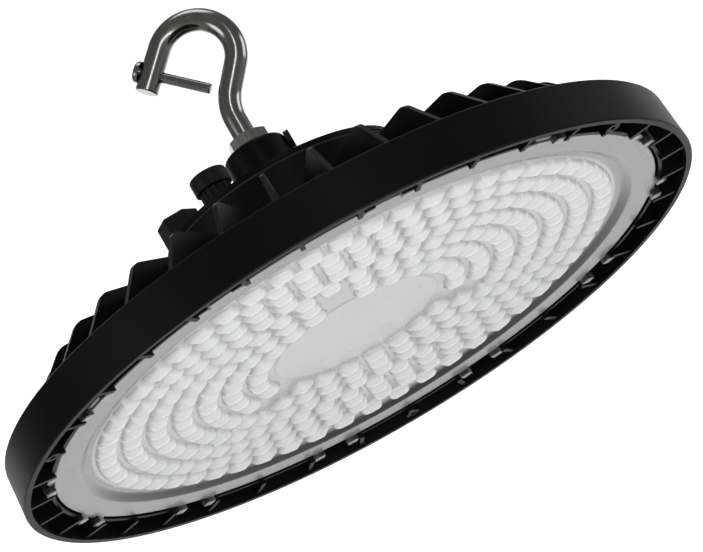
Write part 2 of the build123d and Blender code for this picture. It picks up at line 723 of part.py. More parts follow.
def make_driver_tray():
    floor = tray_bottom + TRAY_WALL
    cup = disc(TRAY_RADIUS, tray_bottom, tray_bottom + TRAY_HEIGHT)
    cup -= disc(tray_inner, floor, tray_bottom + TRAY_HEIGHT)
    posts = []
    holes = []
    for azimuth in driver_screw_azimuths():
        place = at(DRIVER_SCREW_CIRCLE, azimuth)
        posts.append(place * disc(TRAY_POST_RADIUS, tray_bottom, driver_board_bottom))
        holes.append(place * disc(DRIVER_SCREW_RADIUS + SCREW_CLEARANCE, tray_bottom, driver_board_bottom))
    flange = GROMMET_RADIUS + GROMMET_FLANGE + GROMMET_CLEARANCE
    holes.append(Pos(0, LEAD_PLACE, 0) * disc(flange, tray_bottom, floor))
    return cup + posts - holes


def make_driver_board():
    board = disc(tray_inner - DRIVER_BOARD_FIT, driver_board_bottom, driver_board_top)
    holes = [
        at(DRIVER_SCREW_CIRCLE, azimuth) * disc(
            DRIVER_SCREW_RADIUS + SCREW_CLEARANCE, driver_board_bottom, driver_board_top)
        for azimuth in driver_screw_azimuths()
    ]
    return board - holes


def make_driver_screws():
    screws = []
    for azimuth in driver_screw_azimuths():
        shaft = disc(DRIVER_SCREW_RADIUS, plate_top - DRIVER_SCREW_BITE, driver_board_top)
        head_top = driver_board_top + DRIVER_SCREW_HEAD_HEIGHT
        head = disc(DRIVER_SCREW_HEAD_RADIUS, driver_board_top, head_top)
        screws.append(at(DRIVER_SCREW_CIRCLE, azimuth) * (shaft + head))
    return screws


def make_transformer():
    """Wound block with a core frame round it, standing on the driver board."""
    width, depth, height = TRANSFORMER_SIZE
    winding = block(TRANSFORMER_SIZE, driver_board_top)
    core = block((width + 2 * CORE_OVERHANG, CORE_WIDTH, height + CORE_OVERHANG), driver_board_top)
    return winding + core


def make_capacitors():
    can = disc(CAPACITOR_RADIUS, driver_board_top, driver_board_top + CAPACITOR_HEIGHT)
    row = -(TRANSFORMER_SIZE[1] / 2 + CAPACITOR_RADIUS + DRIVER_PART_GAP)
    return [Pos(side * CAPACITOR_SPACING, row, 0) * can for side in (-1, 0, 1)]


def make_output_choke():
    ring = tube(CHOKE_RADIUS, CHOKE_HOLE_RADIUS, driver_board_top, driver_board_top + CHOKE_HEIGHT)
    place = Pos(TRANSFORMER_SIZE[0] / 2 + CORE_OVERHANG + CHOKE_RADIUS + DRIVER_PART_GAP, 0, 0)
    return place * ring


def make_terminal_block():
    width, depth, height = TERMINAL_SIZE
    body = block(TERMINAL_SIZE, driver_board_top)
    holes = [
        Pos(side * width / 4, 0, driver_board_top + height / 2) * Rot(90, 0, 0) * Cylinder(
            TERMINAL_HOLE_RADIUS, depth)
        for side in (-1, 1)
    ]
    shift = TRANSFORMER_SIZE[0] / 2 + CORE_OVERHANG + depth / 2 + DRIVER_PART_GAP
    return Pos(-shift, 0, 0) * Rot(0, 0, 90) * (body - holes)


def make_lead_grommet():
    sleeve = disc(GROMMET_RADIUS, plate_bottom, plate_top)
    flange_top = plate_top + GROMMET_FLANGE_THICKNESS
    flange = disc(GROMMET_RADIUS + GROMMET_FLANGE, plate_top, flange_top)
    return Pos(0, LEAD_PLACE, 0) * (sleeve + flange) - make_led_leads()


def make_led_leads():
    """Two short leads from the driver board's underside to the lamp board's back."""
    return [
        Pos(side * LEAD_SPACING / 2, LEAD_PLACE, 0) * disc(LEAD_RADIUS, board_top, driver_board_bottom)
        for side in (-1, 1)
    ]


NODES = {
    "housing": make_housing,
    "lens_plate": make_lens_plate,
    "lens_gasket": make_lens_gasket,
    "led_board": make_led_board,
    "led_packages": make_led_packages,
    "board_screws": make_board_screws,
    "thermal_pad": make_thermal_pad,
    "top_cover": make_top_cover,
    "cover_gasket": make_cover_gasket,
    "cover_screws": make_cover_screws,
    "hook": make_hook,
    "hook_nut": make_hook_nut,
    "lock_screw": make_lock_screw,
    "safety_screw": make_safety_screw,
    "gland_body": make_gland_body,
    "gland_cap": make_gland_cap,
    "gland_seal": make_gland_seal,
    "vent_body": make_vent_body,
    "vent_cap": make_vent_cap,
    "vent_membrane": make_vent_membrane,
    "fitting_seals": make_fitting_seals,
    "locknuts": make_locknuts,
    "driver_tray": make_driver_tray,
    "driver_board": make_driver_board,
    "driver_screws": make_driver_screws,
    "transformer": make_transformer,
    "capacitors": make_capacitors,
    "output_choke": make_output_choke,
    "terminal_block": make_terminal_block,
    "lead_grommet": make_lead_grommet,
    "led_leads": make_led_leads,
}

os.makedirs("parts", exist_ok=True)
for name, make in NODES.items():
    made = make()
    shape = Compound(children=list(made)) if isinstance(made, list) else made
    export_step(shape, f"parts/{name}.step")
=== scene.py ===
import json
import math

import bmesh
import bpy
from bpy.props import FloatProperty, FloatVectorProperty, IntProperty, PointerProperty
from mathutils import Matrix, Vector


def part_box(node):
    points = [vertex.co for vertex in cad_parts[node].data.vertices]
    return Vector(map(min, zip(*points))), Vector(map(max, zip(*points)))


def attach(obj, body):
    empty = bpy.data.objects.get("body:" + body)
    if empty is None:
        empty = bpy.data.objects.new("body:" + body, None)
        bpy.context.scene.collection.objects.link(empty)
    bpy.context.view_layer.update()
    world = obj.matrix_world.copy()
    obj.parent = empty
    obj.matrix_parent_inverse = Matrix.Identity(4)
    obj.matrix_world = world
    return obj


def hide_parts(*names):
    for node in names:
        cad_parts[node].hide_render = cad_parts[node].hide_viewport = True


bl_info = {
    "name": "High bay light",
    "version": (1, 0, 0),
    "blender": (4, 5, 0),
    "location": "3D View > Sidebar > High bay",
    "description": "Dresses the packed high bay light with its finishes, lens and stage",
    "category": "Object",
}

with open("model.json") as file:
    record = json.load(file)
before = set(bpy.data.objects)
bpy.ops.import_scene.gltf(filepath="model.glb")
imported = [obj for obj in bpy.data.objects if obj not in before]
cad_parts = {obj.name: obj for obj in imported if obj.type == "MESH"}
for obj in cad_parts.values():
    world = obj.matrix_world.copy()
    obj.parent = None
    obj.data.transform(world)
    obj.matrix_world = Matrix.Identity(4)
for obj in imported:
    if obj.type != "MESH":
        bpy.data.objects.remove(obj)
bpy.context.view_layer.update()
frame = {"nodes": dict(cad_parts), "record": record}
BODY = "root"
MM = 0.001

WELD = 2e-6
AXIS_WELD = 1e-6
FLAT_ANGLE = math.radians(0.4)
CREASE_ANGLE = math.radians(30.0)
LENS_CREASE_ANGLE = math.radians(35.0)
BEVEL_STEPS = 2
TURNED_STEPS = 180
HOLD_REACH = 0.4 * MM
HOLD_LIMIT = 0.3
RELIEF_STRENGTH = 0.4

# Where one tone of the lens gives way to the next: lengths at the disc and the rim, else shares of a width.
DISC_BLEND = (-1.0 * MM, 2.0 * MM)
MARGIN_BLEND = (-1.0, -0.7)
RAMP_BLEND = (-0.2, 0.35)
RIM_BLEND = (-0.35, 0.5 * MM)
# Share of a lenslet's height over which the painted highlight rises from the field's painted shade to its
# full tone.
PAINTED_HIGHLIGHT_REACH = 0.75
FACING_RANGE = (0.25, 0.72)
BEHIND_LENS = (0.03, 0.03, 0.035, 1.0)

# Rings of lenslets from the inside, and the three gaps in the innermost two.
RING_COUNTS = (24, 30, 36, 42, 48, 54, 54)
HALF_STEPS = (0, 0, 0, 1, 1, 1, 0)
GAP_RINGS = 2
GAP_AZIMUTHS = (0.0, 120.0, 240.0)

# Inset in millimetres and share of the height, from a lenslet's foot to its crown.
LENSLET_LEVELS = ((0.0, 0.0), (0.35, 0.2), (0.9, 0.5), (1.4, 0.68), (2.3, 0.87), (3.3, 1.0))
LENSLET_CORNER = 0.05
LENSLET_BITE = 0.3 * MM

TAB_BITE = 1.0 * MM
TAB_HALF_WIDTH = 11.0 * MM
TAB_EDGE = 0.25 * MM
BRIDGE_REACH = 2.2 * MM
BRIDGE_STEP = 0.8 * MM
EAR_WIDTH = 5.0 * MM
EAR_REACH = 4.5 * MM
ARM_THICKNESS = 1.5 * MM
BARB_HEIGHT = 1.2 * MM
BARB_REACH = 1.1 * MM

# Node, piece and edge rounding.
HOOK_PIECES = (
    ("hook", "bent_hook", 0.0),
    ("hook_nut", "jam_nut", 0.15 * MM),
    ("lock_screw", "boss_screw", 0.2 * MM),
    ("safety_screw", "mouth_screw", 0.1 * MM),
)
FITTING_EDGE = 0.3 * MM
FITTING_PIECES = (
    ("gland_body", "cord_fitting"),
    ("gland_cap", "cord_fitting_cap"),
    ("vent_body", "vent_fitting"),
    ("vent_cap", "vent_fitting_cap"),
)

SENSOR_WIDTH = 36.0
LAMP_TARGET = (0, 0, 0.03)
# Name, place, width, height and power.
LAMPS = (
    ("right lamp", (1.5, 0.2, 0.1), 0.8, 0.8, 3.4),
    ("left lamp", (-1.3, -0.9, 0.2), 0.8, 0.8, 3.4),
    ("low lamp", (0.1, -0.5, -0.8), 0.6, 0.6, 5.0),
    ("strip lamp", (0.45, -1.6, -0.25), 0.16, 2.2, 5.0),
    ("top lamp", (0.4, -0.2, 1.5), 0.8, 0.8, 3.0),
)
WHITE = (1, 1, 1, 1)
FLOOR_PAINT = (0.8, 0.8, 0.8, 1)
FLOOR_LIFT = 0.45
FLOOR_HALF = 6.0
BACKDROP_HALF = 2.2
BACKDROP_HEIGHT = 0.9
UPRIGHT = Matrix.Rotation(math.radians(90.0), 4, "X")


class LensSizes(bpy.types.PropertyGroup):
    """Sizes and colour of the moulded lens plate."""
    rim_radius: FloatProperty(name="Rim radius", description="Outer edge of the flat rim",
                              default=145.3 * MM, unit="LENGTH")
    rim_width: FloatProperty(name="Rim width", description="Flat ring round the field",
                             default=11.8 * MM, unit="LENGTH")
    rim_thickness: FloatProperty(name="Rim thickness", description="Thickness of the flat ring",
                                 default=3.0 * MM, unit="LENGTH")
    ramp_width: FloatProperty(name="Ramp width", description="Sloping ring between rim and field",
                              default=4.0 * MM, unit="LENGTH")
    recess: FloatProperty(name="Recess", description="How far the field lies behind the rim's face",
                          default=2.4 * MM, unit="LENGTH")
    ear_drop: FloatProperty(name="Ear drop", description="How far the tabs' ears stand below the rim's face",
                            default=2.1 * MM, unit="LENGTH")
    edge: FloatProperty(name="Edge", description="Rounding of the moulding's outer edges",
                        default=0.4 * MM, unit="LENGTH")
    thickness: FloatProperty(name="Field thickness", description="Thickness of the field",
                             default=2.0 * MM, unit="LENGTH")
    disc_radius: FloatProperty(name="Disc radius", description="Plain disc in the middle",
                               default=39.7 * MM, unit="LENGTH")
    disc_step: FloatProperty(name="Disc step", description="How far the disc stands proud of the field",
                             default=0.4 * MM, unit="LENGTH")
    first_ring: FloatProperty(name="First ring", description="Radius of the innermost ring of lenslets",
                              default=48.0 * MM, unit="LENGTH")
    ring_pitch: FloatProperty(name="Ring pitch", description="Distance between rings",
                              default=12.0 * MM, unit="LENGTH")
    lenslet_length: FloatProperty(name="Lenslet length", description="Size of a lenslet along the radius",
                                  default=10.0 * MM, unit="LENGTH")
    lenslet_fill: FloatProperty(name="Lenslet fill", description="Share of its ring that a lenslet takes",
                                default=0.83, min=0.3, max=0.99)
    lenslet_height: FloatProperty(name="Lenslet height", description="How far a lenslet stands down",
                                  default=3.5 * MM, unit="LENGTH")
    tab_count: IntProperty(name="Tabs", description="Clip tabs round the rim", default=12, min=1)
    colour: FloatVectorProperty(name="Lens colour", description="Colour where the white board backs it",
                                subtype="COLOR", default=(0.93, 0.935, 0.945))
    rim_shade: FloatProperty(name="Rim shade", description="Share of that colour over the dark casting",
                             default=0.33, min=0.0, max=1.0)
    ramp_shade: FloatProperty(name="Ramp shade", description="Share of that colour in the ramp",
                              default=0.27, min=0.0, max=1.0)
    face_on_shade: FloatProperty(name="Face-on shade", description="Share left where no board backs the "
                                 "lens and the eye looks straight through it", default=0.0, min=0.0, max=1.0)
    # Painted light: how much darker the field between the lenslets is painted than their crests, painted
    # shade in the gaps and a painted highlight on the crowns.
    painted_crest_highlight: FloatProperty(name="Crest shade", description="Gain in tone from the field to the crests",
                               default=0.36, min=0.0, max=1.0)
    disc_shade: FloatProperty(name="Disc shade", description="Share of that colour in the plain disc",
                              default=1.0, min=0.0, max=1.0)
    margin: FloatProperty(name="Margin", description="Ring of the field outside the lenslets",
                          default=3.5 * MM, unit="LENGTH")
    margin_shade: FloatProperty(name="Margin shade", description="Share of that colour in the margin",
                                default=0.50, min=0.0, max=1.0)


class MetalSettings(bpy.types.PropertyGroup):
    """Finish of the casting and of the steel."""
    edge: FloatProperty(name="Cast edge", description="Rounding of the casting's edges",
                        default=0.5 * MM, unit="LENGTH")
    coat: FloatVectorProperty(name="Coat colour", description="Colour of the casting's coat",
                              subtype="COLOR", default=(0.0035, 0.0035, 0.004))
    steel: FloatVectorProperty(name="Steel colour", description="Colour of the hook's steel",
                               subtype="COLOR", default=(0.42, 0.415, 0.40))


class StageSettings(bpy.types.PropertyGroup):
    """Camera, lamps and floor."""
    azimuth: FloatProperty(name="Azimuth", description="Turn of the camera about the vertical",
                           default=math.radians(0.7), subtype="ANGLE")
    elevation: FloatProperty(name="Elevation", description="Height of the camera above the horizon",
                             default=math.radians(-16.73), subtype="ANGLE")
    roll: FloatProperty(name="Roll", description="Tilt of the camera about its own axis",
                        default=math.radians(-30.28), subtype="ANGLE")
    distance: FloatProperty(name="Distance", description="Camera's distance from the light",
                            default=1.908, unit="LENGTH")
    aim: FloatVectorProperty(name="Aim", description="Point in the middle of the picture",
                             subtype="XYZ", default=(9.26 * MM, -7.03 * MM, 24.3 * MM))
    focal_length: FloatProperty(name="Focal length", description="Focal length in millimetres",
                                default=230.4, min=1.0)
    floor_level: FloatProperty(name="Floor level", description="Height of the floor",
                               default=-0.9, unit="LENGTH")
    world_strength: FloatProperty(name="World strength", description="Even light from all round",
                                  default=0.13, min=0.0)
    backdrop_distance: FloatProperty(name="Backdrop distance", description="Lit paper behind the light",
                                     default=2.4, unit="LENGTH")


def add_group(name, inputs, outputs):
    """Empty shader node group with named value sockets; returns it with its two end nodes."""
    group = bpy.data.node_groups.new(name, "ShaderNodeTree")
    for label, default in inputs:
        socket = group.interface.new_socket(name=label, in_out="INPUT", socket_type="NodeSocketFloat")
        socket.default_value = default
    for label in outputs:
        group.interface.new_socket(name=label, in_out="OUTPUT", socket_type="NodeSocketFloat")
    return group, group.nodes.new("NodeGroupInput"), group.nodes.new("NodeGroupOutput")


def grain_group():
    """Even grain of a moulded, coated or cast surface: a broad tone and a fine height."""
    if "surface grain" in bpy.data.node_groups:
        return bpy.data.node_groups["surface grain"]
    scales = [("Fineness", 900.0), ("Breadth", 30.0)]
    group, start, end = add_group("surface grain", scales, ["Tone", "Height"])
    place = group.nodes.new("ShaderNodeTexCoord")
    for source, target, detail in (("Breadth", "Tone", 3.0), ("Fineness", "Height", 2.0)):
        noise = group.nodes.new("ShaderNodeTexNoise")
        noise.inputs["Detail"].default_value = detail
        group.links.new(place.outputs["Object"], noise.inputs["Vector"])
        group.links.new(start.outputs[source], noise.inputs["Scale"])
        group.links.new(noise.outputs["Fac"], end.inputs[target])
    return group


def streak_group():
    """Drawn marks of bright bar: noise stretched along the height."""
    if "drawn streaks" in bpy.data.node_groups:
        return bpy.data.node_groups["drawn streaks"]
    scales = [("Fineness", 700.0), ("Length", 0.06)]
    group, start, end = add_group("drawn streaks", scales, ["Tone", "Height"])
    place = group.nodes.new("ShaderNodeTexCoord")
    split = group.nodes.new("ShaderNodeSeparateXYZ")
    join = group.nodes.new("ShaderNodeCombineXYZ")
    shorten = group.nodes.new("ShaderNodeMath")
    shorten.operation = "MULTIPLY"
    group.links.new(place.outputs["Object"], split.inputs[0])
    group.links.new(split.outputs["X"], join.inputs["X"])
    group.links.new(split.outputs["Y"], join.inputs["Y"])
    group.links.new(split.outputs["Z"], shorten.inputs[0])
    group.links.new(start.outputs["Length"], shorten.inputs[1])
    group.links.new(shorten.outputs[0], join.inputs["Z"])
    noise = group.nodes.new("ShaderNodeTexNoise")
    group.links.new(join.outputs[0], noise.inputs["Vector"])
    group.links.new(start.outputs["Fineness"], noise.inputs["Scale"])
    group.links.new(noise.outputs["Fac"], end.inputs["Tone"])
    group.links.new(noise.outputs["Fac"], end.inputs["Height"])
    return group


def face_level(sizes):
    """Height of the rim's face, above the tabs' ears."""
    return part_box("lens_plate")[0].z + sizes.ear_drop


def field_level(sizes):
    """Height of the field's face, that the lenslets stand on."""
    return face_level(sizes) + sizes.recess


def multiply(tree, one, other):
    """Product of two values in a shader tree."""
    node = tree.nodes.new("ShaderNodeMath")
    node.operation = "MULTIPLY"
    for socket, value in zip(node.inputs, (one, other)):
        tree.links.new(value, socket)
    return node.outputs[0]


def remapped(tree, value, start, end, low, high):
    """Value of a shader tree carried from one range to another."""
    node = tree.nodes.new("ShaderNodeMapRange")
    for label, number in (("From Min", start), ("From Max", end), ("To Min", low), ("To Max", high)):
        node.inputs[label].default_value = number
    tree.links.new(value, node.inputs["Value"])
    return node.outputs["Result"]


def zone_group():
    """Tone by distance from the axis: 1 over the board, lower in the ramp and over the casting.

    Bare is 1 where no board stands behind the lens, and Crest grows from the field to the crests: painted
    shade on the field between the lenslets that rises to a painted highlight on their crowns."""
    if "radial zones" in bpy.data.node_groups:
        return bpy.data.node_groups["radial zones"]
    sizes = bpy.context.scene.high_bay_lens
    shares = [("Disc", 0.8), ("Field", 1.0), ("Margin", 0.6), ("Ramp", 0.3), ("Rim", 0.6)]
    group, start, end = add_group("radial zones", shares, ["Tone", "Bare", "Crest"])
    place = group.nodes.new("ShaderNodeTexCoord")
    split = group.nodes.new("ShaderNodeSeparateXYZ")
    flat = group.nodes.new("ShaderNodeCombineXYZ")
    radius = group.nodes.new("ShaderNodeVectorMath")
    radius.operation = "LENGTH"
    group.links.new(place.outputs["Object"], split.inputs[0])
    group.links.new(split.outputs["X"], flat.inputs["X"])
    group.links.new(split.outputs["Y"], flat.inputs["Y"])
    group.links.new(flat.outputs[0], radius.inputs[0])
    ramp_end = sizes.rim_radius - sizes.rim_width
    ramp_start = ramp_end - sizes.ramp_width
    margin_near, margin_far = (ramp_start + share * sizes.margin for share in MARGIN_BLEND)
    ramp_near, ramp_far = (ramp_start + share * sizes.ramp_width for share in RAMP_BLEND)
    steps = ((sizes.disc_radius + DISC_BLEND[0], sizes.disc_radius + DISC_BLEND[1], "Field"),
             (margin_near, margin_far, "Margin"),
             (ramp_near, ramp_far, "Ramp"),
             (ramp_end + RIM_BLEND[0] * sizes.ramp_width, ramp_end + RIM_BLEND[1], "Rim"))
    tone = start.outputs["Disc"]
    for near, far, label in steps:
        reach = group.nodes.new("ShaderNodeMapRange")
        reach.interpolation_type = "SMOOTHSTEP"
        reach.inputs["From Min"].default_value = near
        reach.inputs["From Max"].default_value = far
        group.links.new(radius.outputs["Value"], reach.inputs["Value"])
        blend = group.nodes.new("ShaderNodeMix")
        group.links.new(tone, blend.inputs["A"])
        group.links.new(start.outputs[label], blend.inputs["B"])
        group.links.new(reach.outputs["Result"], blend.inputs["Factor"])
        tone = blend.outputs["Result"]
        if label == "Ramp":
            group.links.new(reach.outputs["Result"], end.inputs["Bare"])
    group.links.new(tone, end.inputs["Tone"])
    # Crest is painted light by height: painted shade on the field, rising to a painted highlight at the
    # crowns.
    field = field_level(sizes)
    crest = field - PAINTED_HIGHLIGHT_REACH * sizes.lenslet_height
    group.links.new(remapped(group, split.outputs["Z"], field, crest, 0.0, 1.0), end.inputs["Crest"])
    return group


def new_material(name):
    """Material with its own shader tree."""
    material = bpy.data.materials.new(name)
    material.use_nodes = True
    return material


def finish(name, dark, light, rough, metallic=0.0, specular=0.5, bump=0.02, fineness=900.0, breadth=30.0,
           effect=grain_group):
    """Material whose colour, roughness and relief all follow one surface effect."""
    if name in bpy.data.materials:
        return bpy.data.materials[name]
    material = new_material(name)
    nodes, links = material.node_tree.nodes, material.node_tree.links
    shader = nodes["Principled BSDF"]
    shader.inputs["Metallic"].default_value = metallic
    shader.inputs["Specular IOR Level"].default_value = specular
    pattern = nodes.new("ShaderNodeGroup")
    pattern.node_tree = effect()
    pattern.inputs["Fineness"].default_value = fineness
    if "Breadth" in pattern.inputs:
        pattern.inputs["Breadth"].default_value = breadth
    tint = nodes.new("ShaderNodeMix")
    tint.data_type = "RGBA"
    tint.inputs["A"].default_value = (*dark, 1.0)
    tint.inputs["B"].default_value = (*light, 1.0)
    links.new(pattern.outputs["Tone"], tint.inputs["Factor"])
    links.new(tint.outputs["Result"], shader.inputs["Base Color"])
    roughness = remapped(material.node_tree, pattern.outputs["Tone"], 0.0, 1.0, *rough)
    links.new(roughness, shader.inputs["Roughness"])
    relief = nodes.new("ShaderNodeBump")
    relief.inputs["Strength"].default_value = RELIEF_STRENGTH
    relief.inputs["Distance"].default_value = bump * MM
    links.new(pattern.outputs["Height"], relief.inputs["Height"])
    links.new(relief.outputs["Normal"], shader.inputs["Normal"])
    return material


def shade(colour, factor):
    """Colour made darker or lighter by a factor."""
    return tuple(channel * factor for channel in colour)


def powder_coat():
    """Black coat of the casting and the cover."""
    coat = bpy.context.scene.high_bay_metal.coat
    return finish("powder coat", shade(coat, 0.8), shade(coat, 1.3), (0.38, 0.5), specular=0.14, bump=0.05)


def bright_steel():
    """Drawn steel of the hook."""
    steel = bpy.context.scene.high_bay_metal.steel
    return finish("bright steel", shade(steel, 0.75), shade(steel, 1.15), (0.14, 0.24), metallic=1.0,
                  bump=0.01, effect=streak_group)


def black_plastic():
    """Moulded plastic of the fittings."""
    return finish("black plastic", (0.008, 0.008, 0.009), (0.014, 0.014, 0.015), (0.4, 0.6), specular=0.25)


def black_steel():
    """Blackened steel of small screws."""
    return finish("black steel", (0.010, 0.010, 0.010), (0.020, 0.019, 0.018), (0.3, 0.5), specular=0.3)


def frosted_lens():
    """Frosted plastic that takes its tone from what lies behind it, with painted shade on the field between
    the lenslets and a painted highlight on their crests.
    """
    if "frosted lens" in bpy.data.materials:
        return bpy.data.materials["frosted lens"]
    sizes = bpy.context.scene.high_bay_lens
    material = finish("frosted lens", shade(sizes.colour, 0.98), shade(sizes.colour, 1.02), (0.22, 0.32),
                      bump=0.005, fineness=1500.0)
    nodes, links = material.node_tree.nodes, material.node_tree.links
    shader = nodes["Principled BSDF"]
    zones = nodes.new("ShaderNodeGroup")
    zones.node_tree = zone_group()
    zones.inputs["Disc"].default_value = sizes.disc_shade
    zones.inputs["Margin"].default_value = sizes.margin_shade
    zones.inputs["Rim"].default_value = sizes.rim_shade
    zones.inputs["Ramp"].default_value = sizes.ramp_shade
    tree = material.node_tree
    facing = nodes.new("ShaderNodeLayerWeight").outputs["Facing"]
    seen_through = nodes.new("ShaderNodeMix")
    seen_through.inputs["A"].default_value = 1.0
    links.new(zones.outputs["Bare"], seen_through.inputs["Factor"])
    links.new(remapped(tree, facing, *FACING_RANGE, sizes.face_on_shade, 1.0), seen_through.inputs["B"])
    tone = multiply(tree, zones.outputs["Tone"], seen_through.outputs["Result"])
    # Painted shade on the field between the lenslets and a painted highlight on their crowns.
    crest = remapped(tree, zones.outputs["Crest"], 0.0, 1.0, 1.0 - sizes.painted_crest_highlight, 1.0)
    tone = multiply(tree, tone, crest)
    darken = nodes.new("ShaderNodeMix")
    darken.data_type = "RGBA"
    darken.inputs["A"].default_value = BEHIND_LENS
    links.new(tone, darken.inputs["Factor"])
    links.new(shader.inputs["Base Color"].links[0].from_socket, darken.inputs["B"])
    links.new(darken.outputs["Result"], shader.inputs["Base Color"])
    return material


def rubber():
    """Dull rubber of gaskets and seals."""
    return finish("rubber", (0.015, 0.015, 0.015), (0.03, 0.03, 0.03), (0.7, 0.85))


def zinc():
    """Plated steel of the hidden screws."""
    return finish("zinc", (0.40, 0.41, 0.42), (0.58, 0.59, 0.60), (0.25, 0.4), metallic=1.0, bump=0.005)


INNER_FINISHES = {
    "board_white": ((0.80, 0.80, 0.78), (0.88, 0.88, 0.86), (0.25, 0.35)),
    "package": ((0.80, 0.68, 0.22), (0.88, 0.76, 0.30), (0.3, 0.4)),
    "pad": ((0.42, 0.44, 0.47), (0.50, 0.52, 0.55), (0.7, 0.8)),
    "membrane": ((0.70, 0.70, 0.70), (0.82, 0.82, 0.82), (0.8, 0.9)),
    "tray": ((0.10, 0.10, 0.10), (0.14, 0.14, 0.14), (0.5, 0.6)),
    "board_green": ((0.03, 0.16, 0.07), (0.05, 0.22, 0.10), (0.25, 0.35)),
    "transformer": ((0.50, 0.40, 0.08), (0.62, 0.52, 0.14), (0.35, 0.5)),
    "capacitor": ((0.05, 0.06, 0.10), (0.08, 0.09, 0.14), (0.3, 0.4)),
    "choke": ((0.36, 0.15, 0.05), (0.48, 0.22, 0.09), (0.3, 0.4)),
    "terminal": ((0.04, 0.15, 0.05), (0.06, 0.20, 0.08), (0.45, 0.55)),
    "lead": ((0.38, 0.02, 0.02), (0.48, 0.04, 0.03), (0.45, 0.55)),
}


def slot_material(slot):
    """Blender material of one of the record's slots."""
    makers = {
        "casting": powder_coat,
        "lens_plastic": frosted_lens,
        "rubber": rubber,
        "zinc": zinc,
        "hook_steel": bright_steel,
        "black_steel": black_steel,
        "black_plastic": black_plastic,
    }
    if slot in makers:
        return makers[slot]()
    dark, light, rough = INNER_FINISHES[slot]
    return finish(slot.replace("_", " "), dark, light, rough)


def slot_of(node):
    """The record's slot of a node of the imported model."""
    return next(part["material_slot"] for part in frame["record"]["subparts"] if part["node"] == node)


def mesh_of(name, shape):
    """Mesh of a finished bmesh, which is used up."""
    mesh = bpy.data.meshes.new(name)
    shape.to_mesh(mesh)
    shape.free()
    return mesh


def add_piece(name, shape, slot, *nodes):
    """Makes a piece of a finished bmesh, gives it its finish and lets it stand for nodes."""
    mesh = mesh_of(name, shape)
    piece = bpy.data.objects.new(name, mesh)
    bpy.context.scene.collection.objects.link(piece)
    mesh.materials.append(slot_material(slot))
    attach(piece, BODY)
    if nodes:
        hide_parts(*nodes)
    return piece


def colour_nodes(*nodes):
    """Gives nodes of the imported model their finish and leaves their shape."""
    for node in nodes:
        data = frame["nodes"][node].data
        data.materials.clear()
        data.materials.append(slot_material(slot_of(node)))


def smooth_but_for(shape, crease):
    """Shades a bmesh smooth, with its edges sharp where they turn by more than the crease angle."""
    for face in shape.faces:
        face.smooth = True
    for line in shape.edges:
        if len(line.link_faces) == 2:
            line.smooth = line.calc_face_angle() < crease


def rounded_solid(node, name, edge):
    """Piece with the form of a solid, its curved faces smooth and its edges rounded."""
    shape = bmesh.new()
    shape.from_mesh(frame["nodes"][node].data)
    bmesh.ops.remove_doubles(shape, verts=shape.verts, dist=WELD)
    bmesh.ops.dissolve_limit(shape, angle_limit=FLAT_ANGLE, verts=shape.verts, edges=shape.edges)
    smooth_but_for(shape, CREASE_ANGLE)
    piece = add_piece(name, shape, slot_of(node), node)
    if edge:
        rounding = piece.modifiers.new("rounded edges", "BEVEL")
        rounding.width = edge
        rounding.segments = BEVEL_STEPS
        rounding.limit_method = "ANGLE"
        rounding.angle_limit = CREASE_ANGLE
        rounding.harden_normals = True
    return piece


def held(outline):
    """Outline with a point close to each side of its inner corners, so that the shading turns only there."""
    points = [outline[0]]
    for before, corner, after in zip(outline, outline[1:], outline[2:]):
        sides = []
        for end in (before, after):
            share = min(HOLD_REACH / math.dist(corner, end), HOLD_LIMIT)
            sides.append(tuple(a + (b - a) * share for a, b in zip(corner, end)))
        points += [sides[0], corner, sides[1]]
    return points + [outline[-1]]


def turned_shape(outline):
    """Closed shape spun from an outline of radius and height that starts and ends on the axis."""
    shape = bmesh.new()
    points = [shape.verts.new((radius, 0.0, height)) for radius, height in outline]
    for one, other in zip(points, points[1:]):
        shape.edges.new((one, other))
    bmesh.ops.spin(shape, geom=shape.verts[:] + shape.edges[:], cent=(0, 0, 0), axis=(0, 0, 1),
                   angle=2 * math.pi, steps=TURNED_STEPS, use_merge=True)
    bmesh.ops.remove_doubles(shape, verts=shape.verts, dist=AXIS_WELD)
    bmesh.ops.recalc_face_normals(shape, faces=shape.faces)
    return shape


def ring_places(sizes):
    """Radius, azimuth in degrees and ring pitch of every lenslet."""
    for ring, (count, half_steps) in enumerate(zip(RING_COUNTS, HALF_STEPS)):
        radius = sizes.first_ring + sizes.ring_pitch * ring
        step = 360.0 / count
        for index in range(count):
            azimuth = step * (index + half_steps / 2)
            beside = min(abs((azimuth - gap + 180.0) % 360.0 - 180.0) for gap in GAP_AZIMUTHS)
            if ring >= GAP_RINGS or beside >= step / 2:
                yield radius, azimuth, math.radians(step) * radius


